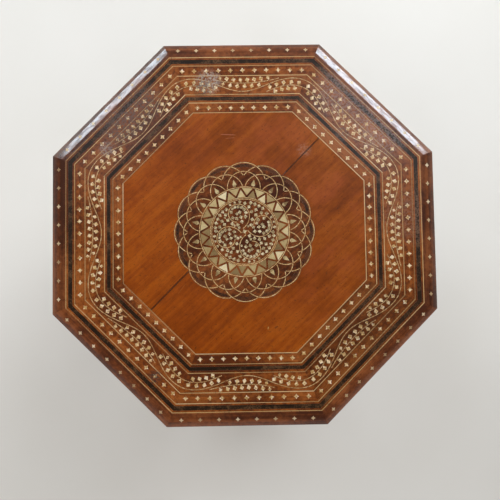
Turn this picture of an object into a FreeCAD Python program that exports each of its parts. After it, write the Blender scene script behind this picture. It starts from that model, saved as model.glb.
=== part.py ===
import FreeCAD, Part
import math
import os

# Driving dimensions, in millimetres and degrees

# Table top: an octagon with flats facing front, back, left and right
sides = 8
table_height = 545.0
top_across = 560.0
top_thickness = 22.0
board_thickness = 18.0
ledge_width = 12.0
board_gap = 0.2
joint_angle = 45.0
joint_offset = 17.7
joint_gap = 0.6

# Edge moulding
rim_width = 20.0
rim_drop = 9.0
rim_nose = 3.0
rim_face = 7.0
rim_undercut = 7.0
rim_corner = 5.0
rim_dot_size = 6.8
rim_dot_place = 0.44
rim_dot_pitch = 27.0
rim_dot_depth = 2.5

# Border, from the moulding inwards
string_width = 1.0
rim_string_lip = 0.8
outer_ebony_margin = 2.8
outer_ebony_width = 6.0
outer_row_width = 14.0
vine_width = 27.0
inner_ebony_margin = 3.2
inner_ebony_width = 5.0
inner_row_width = 13.6
outer_star_pitch = 17.6
inner_star_pitch = 16.6
star_size = 7.6
star_points = 4
star_waist = 0.52
inlay_depth = 2.0
inlay_gap = 0.1
hand_turn = 7.0
hand_shift = 0.5
hand_step = 12.99
hand_row_step = 78.23
row_end_room = 0.8

# Running vine
stem_margin = 3.8
stem_corner_margin = 7.4
stem_over = 2.0
branch_drop = 11.0
branch_start = 9.8
branch_end = 10.5
bay_rise = 16.2
bay_reach = 40.0
bay_limit = 56.0
bay_bend = 0.0024
bay_back_bend = 0.0034
bay_step = 2.0
bay_gap = 0.7
leaf_length = 7.2
leaf_width = 6.6
leaf_pitch = 10.4
leaf_stand = 0.9
leaf_lean = 22.0
leaf_sizes = (1.0, 0.88, 0.76, 0.64)
leaf_room = 0.4
rising_first_leaf = 5.0
falling_first_leaf = 3.0
bay_first_leaves = (8.0, 14.0)
flower_size = 9.0
flower_turn = 30.0
# Shape of a leaf as shares of its length and of half its width: stalk, neck, lobe and notch
leaf_shape = ((-0.5, 0.2), (-0.2, 0.5), (0.04, 1.0), (0.22, 0.6))

# Rosette in the middle of the field
rosette_lobes = 16
rosette_radius = 101.5
lobe_radius = 32.0
petal_radius = 24.0
petal_reach = 88.5
crescent_width = 4.2
crescent_margin = 1.5
ground_depth = 3.0
ground_lip = 0.6
teeth_ring = 65.5
scroll_ring = 49.6
scroll_ring_step = 2.0
scroll_string = 0.9
tooth_count = 21
tooth_gap = 0.5
zigzag_width = 3.0
drop_length = 10.0
drop_width = 5.8
drop_gap = 1.4
crossing_gap = 0.5
crossing_slack = 1.0
scroll_arms = 4
scroll_turn = 22.0
scroll_center = 28.0
scroll_core = 11.5
scroll_open = 11.5
scroll_decay = 110.0
scroll_sweep = 340.0
scroll_step = 8.0
scroll_leaf = 5.6
scroll_leaf_pitch = 6.4
scroll_first_leaves = (26.0, 6.0)
scroll_fill_rings = (43.0, 36.0, 29.0, 22.0, 15.0, 8.0)

# Joinery under the top
spline_length = 55.0
spline_width = 24.0
spline_thickness = 4.0
spline_height = 7.0
spline_gap = 0.2
batten_width = 45.0
batten_spread = 88.0
batten_housing = 6.0
batten_gap = 0.2
batten_end_gap = 3.0
batten_screw_places = (-100.0, -40.0, 40.0, 100.0)
batten_screw_length = 15.0

# Folding base: eight arched panels, square at the ends
base_across = 430.0
panel_thickness = 14.0
panel_end_gap = 0.3
leg_width = 30.0
foot_flare = 8.0
foot_height = 30.0
foot_hollow_out = 0.2
foot_hollow_up = 0.4
spring_height = 225.0
arch_rise = 88.0
arch_lobes = 3
arch_bulge = 5.0
ogee_half = 10.0
ogee_height = 26.0
ogee_curl = 0.75

# Butt hinges, two at each corner, on the inside of the panels
hinge_length = 45.0
hinge_low = 110.0
hinge_high = 400.0
hinge_stagger = 52.0
raised_corners = (4, 5, 6)
leaf_plate_width = 20.0
leaf_plate_thickness = 1.6
knuckle_radius = 2.6
knuckle_stand = 3.0
knuckle_gap = 0.3
plate_setback = 3.4
pin_radius = 1.3
pin_gap = 0.05
pin_over = 0.8

# Screws with countersunk slotted heads
screw_head = 2.7
screw_shank = 1.3
screw_length = 10.0
screw_slot = 0.6
screw_gap = 0.1
screw_spread = 24.0

# Pegs that place the loose top on the front panel
peg_radius = 3.5
peg_depth = 20.0
peg_stand = 9.0
peg_spread = 90.0
peg_gap = 0.3
peg_fit = 0.1

cut_over = 1.0

# Worked out from the dimensions above
turn = 360.0 / sides
half_turn = turn / 2
slope = math.tan(math.radians(half_turn))
top_under = table_height - top_thickness
board_under = table_height - board_thickness
inlay_floor = table_height - inlay_depth
ground_floor = table_height - ground_depth
edge = top_across / 2
rim_inner = edge - rim_width
rim_sweep = (rim_width ** 2 + rim_drop ** 2) / (2 * rim_drop)

# Outer edge of each line of the border, measured from the centre
rim_string = rim_inner - rim_string_lip
outer_ebony = rim_string - string_width - outer_ebony_margin
second_string = outer_ebony - outer_ebony_width - outer_ebony_margin
third_string = second_string - string_width - outer_row_width
fourth_string = third_string - string_width - vine_width
inner_ebony = fourth_string - string_width - inner_ebony_margin
fifth_string = inner_ebony - inner_ebony_width - inner_ebony_margin
field_joint = fifth_string - string_width - inner_row_width
field_edge = field_joint - board_gap
outer_row = second_string - string_width - outer_row_width / 2
inner_row = fifth_string - string_width - inner_row_width / 2
vine_outer = third_string - string_width
vine_inner = fourth_string

panel_outer = base_across / 2
panel_inner = panel_outer - panel_thickness
hinge_axis = panel_inner - knuckle_stand
hinge_reach = hinge_axis * slope
panel_half = hinge_reach - panel_end_gap
arch_half = panel_half - leg_width

rosette_step = 360.0 / rosette_lobes
lobe_center = rosette_radius - lobe_radius
petal_center = petal_reach - petal_radius


# Small tools for outlines and solids
def vec(x, y, z=0.0):
    return FreeCAD.Vector(x, y, z)


def polar(radius, angle, center=(0.0, 0.0)):
    bearing = math.radians(angle)
    return (center[0] + radius * math.cos(bearing), center[1] + radius * math.sin(bearing))


def bearing_of(point, center=(0.0, 0.0)):
    return math.degrees(math.atan2(point[1] - center[1], point[0] - center[0]))


def prism(points, low, high):
    corners = [vec(x, y, low) for x, y in points]
    wire = Part.makePolygon(corners + corners[:1])
    return Part.Face(wire).extrude(vec(0, 0, high - low))


def block(x_low, x_high, y_low, y_high, z_low, z_high):
    return Part.makeBox(x_high - x_low, y_high - y_low, z_high - z_low, vec(x_low, y_low, z_low))


def moved(points, center, angle):
    bearing = math.radians(angle)
    across = math.cos(bearing)
    up = math.sin(bearing)
    return [(center[0] + x * across - y * up, center[1] + x * up + y * across) for x, y in points]


def grown(points, gap):
    # The outline with every edge moved outwards by the gap
    pairs = list(zip(points, points[1:] + points[:1]))
    area = sum(a[0] * b[1] - b[0] * a[1] for a, b in pairs)
    loop = points if area > 0 else points[::-1]
    out = []
    for index, corner in enumerate(loop):
        before = loop[index - 1]
        after = loop[(index + 1) % len(loop)]
        first = math.atan2(corner[1] - before[1], corner[0] - before[0])
        second = math.atan2(after[1] - corner[1], after[0] - corner[0])
        middle = first + math.remainder(second - first, 2 * math.pi) / 2
        reach = gap / math.cos(middle - first)
        out.append((corner[0] + reach * math.sin(middle), corner[1] - reach * math.cos(middle)))
    return out


def turned(shape, angle):
    copy = shape.copy()
    copy.rotate(vec(0, 0), vec(0, 0, 1), angle)
    return copy


def side_angle(number):
    # Side 1 faces the front, and the count runs anticlockwise from above
    return -90 + turn * (number - 1)


def on_side(shape, number):
    return turned(shape, side_angle(number))


def round_the_table(shapes):
    return [on_side(shape, number) for number in range(1, sides + 1) for shape in shapes]


def carved(body, tools):
    result = body.cut(tools)
    assert len(result.Solids) == 1
    return result.Solids[0]


def octagon(apothem):
    corner = apothem / math.cos(math.radians(half_turn))
    return [polar(corner, half_turn + turn * index) for index in range(sides)]


def wedge(low, high):
    reach = edge + cut_over
    return prism([(0, 0), (reach, -reach * slope), (reach, reach * slope)], low, high)


def mitred(edges, half_length):
    # A profile drawn in the plane across a side, run along the side and cut at both mitres
    start = Part.Face(Part.Wire(edges))
    start.translate(vec(0, -half_length, 0))
    bar = start.extrude(vec(0, 2 * half_length, 0))
    return bar.common(wedge(top_under - cut_over, table_height + cut_over)).Solids[0]


def profile_line(first, second):
    return Part.makeLine(vec(first[0], 0, first[1]), vec(second[0], 0, second[1]))


def save(name, shapes):
    shape = shapes[0] if len(shapes) == 1 else Part.makeCompound(shapes)
    shape.exportStep("parts/" + name + ".step")
    print(name, len(shapes))


def hand_cut(index, row):
    # Each hand-cut piece sits a little off its place, by a fixed rule
    return math.sin(hand_step * index + hand_row_step * row)


# Inlay outlines, lying flat
def star(size):
    tip = size / 2
    step = 180 / star_points
    return [polar(tip if index % 2 == 0 else tip * star_waist, step * index)
            for index in range(2 * star_points)]


def leaf(length, width):
    # A bud with a short stalk, two side lobes and a point
    upper = [(length * along, width / 2 * across) for along, across in leaf_shape]
    lower = [(x, -y) for x, y in reversed(upper)]
    return [(length / 2, 0)] + lower + upper


def strip(outer, width, gap=0.0, over=0.0):
    # A straight piece along one side, between the two mitres
    near = outer - width - gap
    far = outer + gap
    return [(near, -near * slope - over), (far, -far * slope - over),
            (far, far * slope + over), (near, near * slope + over)]


def ribbon(points, width):
    # An even band along a centre line
    left = []
    right = []
    for index, point in enumerate(points):
        before = points[max(index - 1, 0)]
        after = points[min(index + 1, len(points) - 1)]
        heading = math.atan2(after[1] - before[1], after[0] - before[0])
        step = (-math.sin(heading) * width / 2, math.cos(heading) * width / 2)
        left.append((point[0] + step[0], point[1] + step[1]))
        right.append((point[0] - step[0], point[1] - step[1]))
    return left + right[::-1]


def row_places(apothem, pitch, size):
    half = apothem * slope - size * row_end_room
    count = int(2 * half / pitch) + 1
    return [(index - (count - 1) / 2) * pitch for index in range(count)]


# Running vine, one repeat for each side
def stem_radius(angle):
    low = vine_inner + stem_margin
    high = (vine_outer - stem_corner_margin) / math.cos(math.radians(half_turn))
    return (low + high) / 2 - (high - low) / 2 * math.cos(math.radians(angle) * sides)


def stem_line(start, end, drop):
    count = int(abs(end - start)) + 1
    angles = [start + (end - start) * index / count for index in range(count + 1)]
    return [polar(stem_radius(angle) - drop, -angle) for angle in angles]


def bay_point(run):
    bend = bay_bend if run > 0 else bay_back_bend
    return (vine_inner + bay_rise + bend * run ** 2, -run)


def line_distance(point, line):
    best = math.inf
    for first, second in zip(line, line[1:]):
        along = (second[0] - first[0], second[1] - first[1])
        length = along[0] ** 2 + along[1] ** 2
        share = ((point[0] - first[0]) * along[0] + (point[1] - first[1]) * along[1]) / length
        share = min(max(share, 0.0), 1.0)
        foot = (first[0] + along[0] * share, first[1] + along[1] * share)
        best = min(best, math.dist(point, foot))
    return best


def bay_line():
    # The branch in the middle of a side runs until it meets the main stem
    main = stem_line(-half_turn, half_turn, 0)
    runs = [-bay_reach]
    room = string_width + bay_gap
    while line_distance(bay_point(runs[-1]), main) > room and runs[-1] < bay_limit:
        runs.append(runs[-1] + bay_step)
    return [bay_point(run) for run in runs[:-1]]


def leaves_along(line, hand, first, pitch, length_of_leaf, stand):
    # Leaves on one side of a branch, leaning the way it grows
    places = []
    travelled = 0.0
    target = first
    for start, end in zip(line, line[1:]):
        length = math.dist(start, end)
        while travelled + length >= target:
            share = (target - travelled) / length
            heading = math.degrees(math.atan2(end[1] - start[1], end[0] - start[0]))
            base = (start[0] + (end[0] - start[0]) * share, start[1] + (end[1] - start[1]) * share)
            pointing = heading + hand * (90 - leaf_lean)
            reach = string_width / 2 + stand + length_of_leaf / 2
            places.append((polar(reach, pointing, base), pointing))
            target += pitch
        travelled += length
    return places


def hand_of(first, second, point):
    across = (second[0] - first[0]) * (point[1] - first[1])
    return across - (second[1] - first[1]) * (point[0] - first[0]) > 0


def crosses(line, other):
    for first, second in zip(line, line[1:]):
        for third, fourth in zip(other, other[1:]):
            apart = hand_of(first, second, third) == hand_of(first, second, fourth)
            if not apart and hand_of(third, fourth, first) != hand_of(third, fourth, second):
                return True
    return False


def stands_clear(outline, lines, others):
    # Off the stems and off the other leaves
    stem_gap = string_width / 2 + leaf_room
    loop = outline + outline[:1]
    for line in lines:
        if min(line_distance(point, line) for point in outline) < stem_gap or crosses(loop, line):
            return False
    for other in others:
        if math.dist(middle_of(outline), middle_of(other)) > leaf_length + flower_size:
            continue
        other_loop = other + other[:1]
        near = min(line_distance(point, loop) for point in other)
        far_side = min(line_distance(point, other_loop) for point in outline)
        if min(near, far_side) < leaf_room or crosses(loop, other_loop):
            return False
    return True


def middle_of(outline):
    return (sum(x for x, y in outline) / len(outline), sum(y for x, y in outline) / len(outline))


def has_room(outline, lines, others):
    # A leaf stays inside the vine's zone and off the mitres
    inside = all(vine_inner + leaf_room < x < vine_outer - leaf_room for x, y in outline)
    between = all(abs(y) < x * slope - leaf_room for x, y in outline)
    return inside and between and stands_clear(outline, lines, others)


def fitted_leaf(length, width, place, angle, fits):
    # The largest leaf that fits, on the same stalk
    stalk = polar(-length / 2, angle, place)
    for share in leaf_sizes:
        outline = moved(leaf(length * share, width * share), polar(length * share / 2, angle, stalk), angle)
        if fits(outline):
            return [outline]
    return []


def vine_lines():
    end = half_turn + stem_over
    main = stem_line(-end, end, 0)
    rising = stem_line(branch_start, end, branch_drop)
    falling = stem_line(-end, -branch_end, branch_drop)
    return [main, rising, falling, bay_line()]


def vine_leaf_outlines(lines):
    main, rising, falling, bay = lines
    back_bay = bay[::-1]
    places = []
    for line, first in ((rising, rising_first_leaf), (falling, falling_first_leaf)):
        places += leaves_along(line, 1, first, leaf_pitch, leaf_length, leaf_stand)
        places += leaves_along(line, -1, first + leaf_pitch / 2, leaf_pitch, leaf_length, leaf_stand)
    for hand, first in zip((1, -1), bay_first_leaves):
        places += leaves_along(back_bay, hand, first, leaf_pitch, leaf_length, leaf_stand)
    tip = polar(leaf_length, bearing_of(bay[0], bay[1]), bay[0])
    flower = moved(star(flower_size), tip, flower_turn)
    outlines = [flower] if has_room(flower, lines, []) else []
    for index, (place, pointing) in enumerate(places):
        angle = pointing + hand_turn * hand_cut(index, 3)
        outlines += fitted_leaf(leaf_length, leaf_width, place, angle,
                                lambda outline: has_room(outline, lines, outlines))
    return outlines


# One side of the border, with its inlay and the pockets that hold it
def border_strips():
    strings = [rim_string, second_string, third_string, fourth_string, fifth_string]
    strips = [(line, string_width) for line in strings]
    bands = [(outer_ebony, outer_ebony_width), (inner_ebony, inner_ebony_width)]
    return strips, bands


def star_outlines():
    outlines = []
    for row, (apothem, pitch) in enumerate(((outer_row, outer_star_pitch), (inner_row, inner_star_pitch))):
        for index, place in enumerate(row_places(apothem, pitch, star_size)):
            drift = hand_shift * hand_cut(index, row)
            angle = hand_turn * hand_cut(index, row + 2)
            outlines.append(moved(star(star_size), (apothem + drift, place - drift), angle))
    return outlines


def spline_slot(angle, gap):
    middle = (field_joint + rim_inner) / 2 / math.cos(math.radians(half_turn))
    low = top_under + spline_height
    half = spline_length / 2 + gap
    plate = block(middle - half, middle + half, -spline_width / 2 - gap, spline_width / 2 + gap,
                  low - gap, low + spline_thickness + gap)
    return turned(plate, angle)


def border_rail():
    corners = [(field_joint, table_height), (rim_inner, table_height), (rim_inner, top_under),
               (field_joint - ledge_width, top_under), (field_joint - ledge_width, board_under),
               (field_joint, board_under)]
    edges = [profile_line(a, b) for a, b in zip(corners, corners[1:] + corners[:1])]
    return mitred(edges, rim_inner * slope + cut_over)


def pocket(outline):
    return prism(grown(outline, inlay_gap), inlay_floor, table_height + cut_over)


def inlay(outline):
    return prism(outline, inlay_floor, table_height)


def in_sector(solid):
    return solid.common(wedge(inlay_floor - cut_over, table_height + cut_over)).Solids[0]


def pegs(gap):
    across = (panel_inner + panel_outer) / 2
    low = top_under - peg_depth
    height = peg_depth + peg_stand + gap
    return [on_side(Part.makeCylinder(peg_radius + gap, height, vec(across, side * peg_spread / 2, low)), 1)
            for side in (-1, 1)]


def socketed(piece):
    # Room for the pegs in each piece of the top that lies over them
    return carved(piece, pegs(peg_gap))


def border():
    strips, bands = border_strips()
    lines = vine_lines()
    stems = [ribbon(line, string_width) for line in lines]
    stars = star_outlines()
    leaves = vine_leaf_outlines(lines)
    tools = [prism(strip(*line, inlay_gap, cut_over), inlay_floor, table_height + cut_over)
             for line in strips + bands]
    tools += [pocket(outline) for outline in stems + stars + leaves]
    tools += [spline_slot(half_turn, spline_gap), spline_slot(-half_turn, spline_gap)]
    rail = carved(border_rail(), tools)
    for number in range(1, sides + 1):
        save("border_rail_%d" % number, [socketed(on_side(rail, number))])
    save("border_strings", round_the_table([inlay(strip(*line)) for line in strips]) + field_strings())
    save("border_stars", round_the_table([inlay(outline) for outline in stars]))
    save("vine_stems", round_the_table([in_sector(inlay(outline)) for outline in stems]))
    save("vine_leaves", round_the_table([inlay(outline) for outline in leaves]))
    save("mitre_splines", round_the_table([spline_slot(half_turn, 0)]))
    return round_the_table([inlay(strip(*line)) for line in bands])


def field_strings():
    return round_the_table([inlay(strip(field_edge, string_width))])


# Edge moulding, a rounded slope down to the outer face, with bone dots set square to the slope
def rim_point(share):
    angle = share * math.asin(rim_width / rim_sweep)
    return (rim_inner + rim_sweep * math.sin(angle), table_height - rim_sweep * (1 - math.cos(angle)))


def profile_arc(*points):
    return Part.Arc(*[vec(x, 0, z) for x, z in points]).toShape()


def edge_moulding():
    # The slope rolls over into the outer face on a small nose
    center = (rim_inner, table_height - rim_sweep)
    reach = rim_sweep - rim_nose
    across = rim_width - rim_nose
    nose = (edge - rim_nose, center[1] + math.sqrt(reach ** 2 - across ** 2))
    lean = bearing_of(nose, center)
    crown = (rim_inner, table_height)
    middle = polar(rim_sweep, (90 + lean) / 2, center)
    roll = [polar(rim_nose, angle, nose) for angle in (lean, lean / 2, 0)]
    face = (edge, table_height - rim_drop - rim_face)
    foot = (edge - rim_undercut, top_under)
    back = (rim_inner, top_under)
    corners = [roll[-1], face, foot, back, crown]
    edges = [profile_arc(crown, middle, roll[0]), profile_arc(*roll)]
    edges += [profile_line(a, b) for a, b in zip(corners, corners[1:])]
    outline = prism(octagon(edge), top_under, table_height)
    uprights = [line for line in outline.Edges if line.BoundBox.ZLength > top_thickness / 2]
    return mitred(edges, edge * slope + cut_over).common(outline.makeFillet(rim_corner, uprights)).Solids[0]


def rim_dot(place, gap):
    tilt = math.degrees(math.asin(rim_width / rim_sweep)) * rim_dot_place
    crown = rim_point(rim_dot_place)
    dot = prism(grown(star(rim_dot_size), gap), -rim_dot_depth, rim_drop)
    dot.rotate(vec(0, 0), vec(0, 1, 0), tilt)
    dot.translate(vec(crown[0], place, crown[1]))
    return dot


def rim():
    plain = edge_moulding()
    places = row_places(rim_point(rim_dot_place)[0], rim_dot_pitch, rim_dot_size)
    moulding = carved(plain, [rim_dot(place, inlay_gap) for place in places])
    dots = [rim_dot(place, 0).common(plain).Solids[0] for place in places]
    for number in range(1, sides + 1):
        save("edge_moulding_%d" % number, [socketed(on_side(moulding, number))])
    save("rim_dots", round_the_table(dots))


# Rosette: crossing strings of lobes and petals round a ring of teeth and a scroll of leaves
def arc_edge(center, radius, start, end, height):
    bearings = (start, (start + end) / 2, end)
    return Part.Arc(*[vec(*polar(radius, angle, center), height) for angle in bearings]).toShape()


def arc_strip(center, radius, width, start, end, low, high):
    outer = radius + width / 2
    inner = radius - width / 2
    edges = [arc_edge(center, outer, start, end, low), arc_edge(center, inner, end, start, low)]
    for angle in (start, end):
        edges.append(Part.makeLine(vec(*polar(outer, angle, center), low),
                                   vec(*polar(inner, angle, center), low)))
    return Part.Face(Part.Wire(Part.__sortEdges__(edges))).extrude(vec(0, 0, high - low))


def disc(center, radius, low, high):
    return Part.makeCylinder(radius, high - low, vec(center[0], center[1], low))


def ring(radius, width, low, high):
    outer = disc((0, 0), radius + width / 2, low, high)
    return outer.cut(disc((0, 0), radius - width / 2, low, high)).Solids[0]


def circles_meet(first, first_radius, second, second_radius):
    # Where two circles cross, and the angle between them there
    apart = math.dist(first, second)
    along = (first_radius ** 2 - second_radius ** 2 + apart ** 2) / (2 * apart)
    if abs(along) >= first_radius:
        return [], 0.0
    aside = math.sqrt(first_radius ** 2 - along ** 2)
    heading = bearing_of(second, first)
    foot = polar(along, heading, first)
    crossing = (first_radius ** 2 + second_radius ** 2 - apart ** 2) / (2 * first_radius * second_radius)
    angle = math.degrees(math.acos(crossing))
    return [polar(aside, heading + quarter, foot) for quarter in (90, -90)], angle


def outermost(points):
    return max(points, key=lambda point: math.hypot(*point))


def lobe_place(index):
    return polar(lobe_center, rosette_step * index)


def petal_place(index):
    return polar(petal_center, rosette_step * index)


def lobe_reach():
    # A lobe's string stops at the cusp where it meets the next lobe but one
    points, angle = circles_meet(lobe_place(0), lobe_radius, lobe_place(2), lobe_radius)
    slant = math.radians(90 - angle / 2)
    trim = (string_width / 2 * math.cos(slant) + crossing_gap / 2) / math.sin(slant)
    return bearing_of(outermost(points), lobe_place(0)) - math.degrees(trim / lobe_radius)


def petal_span():
    # A petal's string stops short of the ring round the teeth
    limit = teeth_ring + string_width + crossing_gap
    points, angle = circles_meet(petal_place(0), petal_radius, (0, 0), limit)
    return max(bearing_of(point, petal_place(0)) for point in points)


def string_spans(place, radius, reach, over):
    # Stretches of one string, left open where the strings listed in over run across it
    cuts = []
    for other, other_radius, other_reach, heading in over:
        points, angle = circles_meet(place, radius, other, other_radius)
        for point in points:
            mine = bearing_of(point, place)
            theirs = math.remainder(bearing_of(point, other) - heading, 360)
            if abs(mine) < reach and abs(theirs) < other_reach + crossing_slack:
                slant = math.radians(angle)
                half = string_width / 2
                room = (half + crossing_gap + half * abs(math.cos(slant))) / math.sin(slant)
                trim = math.degrees(room / radius)
                cuts.append((mine - trim, mine + trim))
    start = -reach
    spans = []
    for low, high in sorted(cuts) + [(reach, reach)]:
        if low - start > math.degrees(crossing_gap * 2 / radius):
            spans.append((start, low))
        start = max(start, high)
    return spans


def rosette_arcs():
    lobe_limit = lobe_reach()
    petal_limit = petal_span()
    half = rosette_lobes // 2
    petals = [(petal_place(index), petal_radius, petal_limit, rosette_step * index)
              for index in range(-half, half)]
    later_lobes = [(lobe_place(index), lobe_radius, lobe_limit, rosette_step * index)
                   for index in range(1, half)]
    later_petals = [petal for petal in petals if 0 < petal[3] < 180]
    lobes = string_spans(lobe_place(0), lobe_radius, lobe_limit, later_lobes + petals)
    inner = string_spans(petal_place(0), petal_radius, petal_limit, later_petals)
    return [(lobe_place(0), lobe_radius, span) for span in lobes] + [
        (petal_place(0), petal_radius, span) for span in inner]


def arc_string(center, radius, span, gap, high):
    more = math.degrees(gap / radius)
    return arc_strip(center, radius, string_width + 2 * gap, span[0] - more, span[1] + more,
                     inlay_floor, high)


def crescent(gap, high):
    # Ebony under the crown of a lobe, cut off where the neighbouring lobes cross it
    margin = crescent_margin - gap
    width = crescent_width + 2 * gap
    radius = lobe_radius - string_width / 2 - margin - width / 2
    points, angle = circles_meet(lobe_place(0), lobe_radius, lobe_place(1), lobe_radius)
    span = bearing_of(outermost(points), lobe_place(0))
    band = arc_strip(lobe_place(0), radius, width, -span, span, inlay_floor, high)
    clear = lobe_radius + string_width / 2 + margin
    return band.cut([disc(lobe_place(side), clear, inlay_floor, high) for side in (1, -1)]).Solids[0]


def drop(gap, high):
    half = drop_width / 2 + gap
    base = teeth_ring + string_width / 2 + drop_gap + drop_width / 2
    tip = base - drop_width / 2 + drop_length + 2 * gap
    bowl = Part.Arc(vec(base, half, inlay_floor), vec(base - half, 0, inlay_floor),
                    vec(base, -half, inlay_floor)).toShape()
    point = vec(tip, 0, inlay_floor)
    sides_of_drop = [Part.makeLine(vec(base, -half, inlay_floor), point),
                     Part.makeLine(point, vec(base, half, inlay_floor))]
    solid = Part.Face(Part.Wire([bowl] + sides_of_drop)).extrude(vec(0, 0, high - inlay_floor))
    return turned(solid, rosette_step / 2)


def tooth(base, half, apex):
    # A triangle inset on its two long sides, so that a zigzag of ground is left between teeth
    height = apex - base
    flank = math.atan2(half, abs(height))
    inset_half = half - zigzag_width / 2 / math.cos(flank)
    inset_apex = apex - math.copysign(zigzag_width / 2 / math.sin(flank), height)
    return [(base, -inset_half), (inset_apex, 0), (base, inset_half)]


def teeth_outlines():
    pitch = math.radians(360 / tooth_count)
    outer_corner = teeth_ring - string_width / 2 - tooth_gap
    inner_base = scroll_ring + scroll_string / 2 + tooth_gap
    outer_base = outer_corner * math.cos(pitch / 2)
    inner_corner = inner_base / math.cos(pitch / 2)
    outward = tooth(outer_base, outer_corner * math.sin(pitch / 2), inner_corner)
    inward = tooth(inner_base, inner_base * math.tan(pitch / 2), outer_corner)
    outlines = []
    for index in range(tooth_count):
        angle = math.degrees(pitch * index)
        outlines.append(moved(outward, (0, 0), angle))
        outlines.append(moved(inward, (0, 0), angle + math.degrees(pitch / 2)))
    return outlines


def scroll_line(arm):
    # A stem that leaves the middle and curls round its own centre
    heading = scroll_turn + 360 / scroll_arms * arm
    center = polar(scroll_center, heading)
    sweeps = [scroll_step * index for index in range(int(scroll_sweep / scroll_step) + 1)]
    return [polar(scroll_core + scroll_open * math.exp(-sweep / scroll_decay), heading + 180 + sweep, center)
            for sweep in sweeps]


def within(outline, limit):
    return all(math.hypot(x, y) < limit for x, y in outline)


def scroll_outlines():
    lines = [scroll_line(arm) for arm in range(scroll_arms)]
    limit = scroll_ring - scroll_ring_step - scroll_string / 2 - leaf_room
    outlines = [moved(star(star_size), (0, 0), scroll_turn)]
    for arm in range(scroll_arms):
        center = polar(scroll_center, scroll_turn + 360 / scroll_arms * arm)
        outlines.append(moved(star(scroll_leaf), center, 0))
    places = []
    for line in lines:
        for hand, first in zip((1, -1), scroll_first_leaves):
            places += leaves_along(line, hand, first, scroll_leaf_pitch, scroll_leaf, leaf_stand)
    for radius in scroll_fill_rings:
        count = int(2 * math.pi * radius / scroll_leaf_pitch)
        bearings = [360 * index / count for index in range(count)]
        places += [(polar(radius, bearing), bearing) for bearing in bearings]
    for index, (place, pointing) in enumerate(places):
        angle = pointing + hand_turn * hand_cut(index, 5)
        outlines += fitted_leaf(
            scroll_leaf, scroll_leaf, place, angle,
            lambda outline: within(outline, limit) and stands_clear(outline, lines, outlines))
    return lines, outlines


def rosette_ground(gap, high):
    radius = lobe_radius + string_width / 2 + ground_lip + gap
    points, angle = circles_meet(lobe_place(0), radius, lobe_place(1), radius)
    span = bearing_of(outermost(points), lobe_place(0))
    edges = []
    for index in range(rosette_lobes):
        heading = rosette_step * index
        edges.append(arc_edge(lobe_place(index), radius, heading - span, heading + span, ground_floor))
    return Part.Face(Part.Wire(edges)).extrude(vec(0, 0, high - ground_floor))


def rosette():
    arcs = rosette_arcs()
    rings = [(teeth_ring, string_width), (scroll_ring, scroll_string),
             (scroll_ring - scroll_ring_step, scroll_string)]
    teeth = teeth_outlines()
    lines, leaves = scroll_outlines()
    curls = [ribbon(line, scroll_string) for line in lines]
    clear = table_height + cut_over
    around = [arc_string(*arc, inlay_gap, clear) for arc in arcs]
    around += [crescent(inlay_gap, clear), drop(inlay_gap, clear)]
    tools = [turned(tool, rosette_step * index) for tool in around for index in range(rosette_lobes)]
    tools += [ring(radius, width + 2 * inlay_gap, inlay_floor, clear) for radius, width in rings]
    tools += [pocket(outline) for outline in teeth + curls + leaves]
    save("rosette_ground", [carved(rosette_ground(0, table_height), tools)])
    strings = [turned(arc_string(*arc, 0, table_height), rosette_step * index)
               for arc in arcs for index in range(rosette_lobes)]
    strings += [ring(radius, width, inlay_floor, table_height) for radius, width in rings]
    strings += [inlay(outline) for outline in curls]
    save("rosette_strings", strings)
    drops = [turned(drop(0, table_height), rosette_step * index) for index in range(rosette_lobes)]
    save("rosette_bone", drops + [inlay(outline) for outline in teeth])
    save("scroll_leaves", [inlay(outline) for outline in leaves])
    return [turned(crescent(0, table_height), rosette_step * index) for index in range(rosette_lobes)]


# Field boards, their battens and the screws that hold them
def screw(length, gap=0.0):
    # Head at the origin, shank along +Z
    head = screw_head - screw_shank
    cone = Part.makeCone(screw_head + gap, screw_shank + gap, head)
    shank = Part.makeCylinder(screw_shank + gap, length - head + gap, vec(0, 0, head))
    body = cone.fuse(shank)
    if gap:
        return body.fuse(Part.makeCylinder(screw_head + gap, cut_over, vec(0, 0, -cut_over)))
    slot = block(-screw_head, screw_head, -screw_slot / 2, screw_slot / 2, -cut_over, screw_slot)
    return body.cut(slot).Solids[0]


def batten_half():
    room = field_joint - ledge_width
    corner = batten_spread / 2 + batten_width / 2
    return min(room, room * math.sqrt(2) - corner) - batten_end_gap


def batten(side, gap, low):
    middle = side * batten_spread / 2
    half_width = batten_width / 2 + gap
    half_length = batten_half() + gap
    bar = block(middle - half_width, middle + half_width, -half_length, half_length,
                low, board_under + batten_housing)
    return turned(bar, joint_angle)


def batten_screws(gap):
    screws = []
    for side in (-1, 1):
        for place in batten_screw_places:
            fixing = screw(batten_screw_length, gap)
            fixing.translate(vec(side * batten_spread / 2, place, top_under))
            screws.append(turned(fixing, joint_angle))
    return screws


def field():
    tools = [prism(strip(field_edge + cut_over, string_width + cut_over, inlay_gap, cut_over),
                   inlay_floor, table_height + cut_over)]
    tools = round_the_table(tools)
    tools += [rosette_ground(inlay_gap, table_height + cut_over)]
    tools += [batten(side, batten_gap, board_under - cut_over) for side in (-1, 1)]
    tools += batten_screws(screw_gap)
    whole = prism(octagon(field_edge), board_under, table_height)
    halves = [(joint_offset + joint_gap / 2, edge), (-edge, joint_offset - joint_gap / 2)]
    for number, (low, high) in enumerate(halves, 1):
        half = turned(block(-edge, edge, low, high, board_under, table_height), joint_angle)
        board = whole.common(half).Solids[0]
        save("field_board_%d" % number, [socketed(carved(board, tools))])
    bars = [carved(batten(side, 0, top_under), batten_screws(screw_gap)) for side in (-1, 1)]
    save("battens", [socketed(bar) for bar in bars])
    save("batten_screws", batten_screws(0))


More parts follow.
